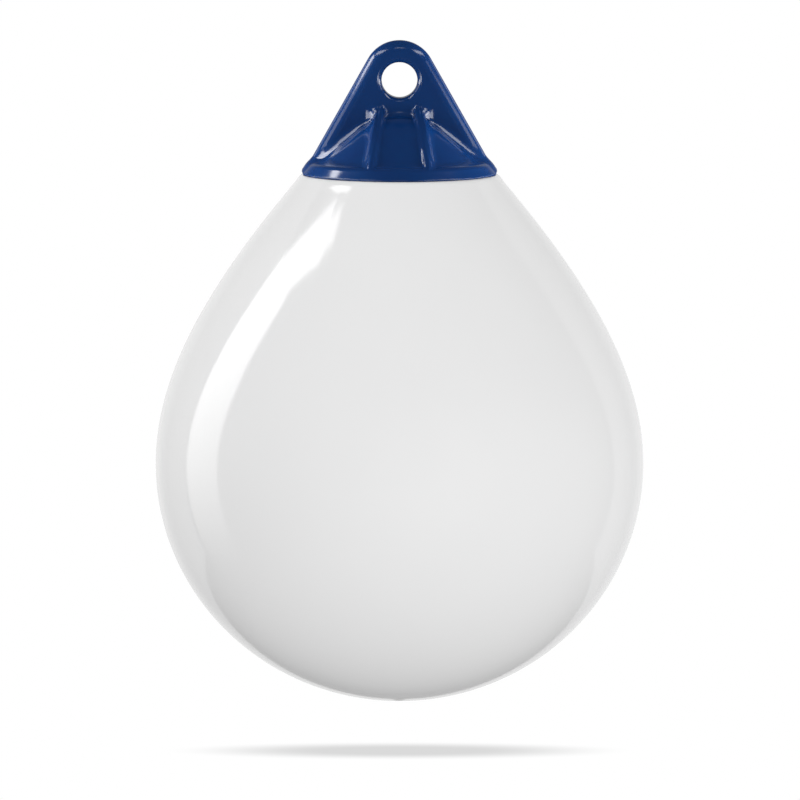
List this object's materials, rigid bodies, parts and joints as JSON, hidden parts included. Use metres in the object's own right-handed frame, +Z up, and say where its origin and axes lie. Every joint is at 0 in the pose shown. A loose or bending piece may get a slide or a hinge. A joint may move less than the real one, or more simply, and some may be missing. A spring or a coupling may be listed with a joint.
{
  "type": "ball fender",
  "caption": "Inflatable pear-shaped boat fender with a moulded rope eye on top and a screw-plug air valve behind it.",
  "frame": {"origin": "centre of the rope eye", "axes": "+Z up, from the ball to the eye; Y along the eye's bore, with -Y the face that the picture shows and +Y the valve's side; X across the eye plate"},
  "size_m": [0.28, 0.28, 0.3801],
  "materials": {
    "ball_skin": "glossy soft vinyl, white",
    "head_moulding": "glossy solid vinyl, navy blue",
    "valve_plastic": "fine matt hard plastic, near black",
    "seal_rubber": "smooth black rubber",
    "plug_plastic": "fine matt hard plastic, near black"
  },
  "bodies": {
    "root": {"ball_shell": "ball_skin", "rope_head": "head_moulding", "valve_seat": "valve_plastic", "plug_seal": "seal_rubber", "valve_plug": "plug_plastic"}
  },
  "joints": []
}
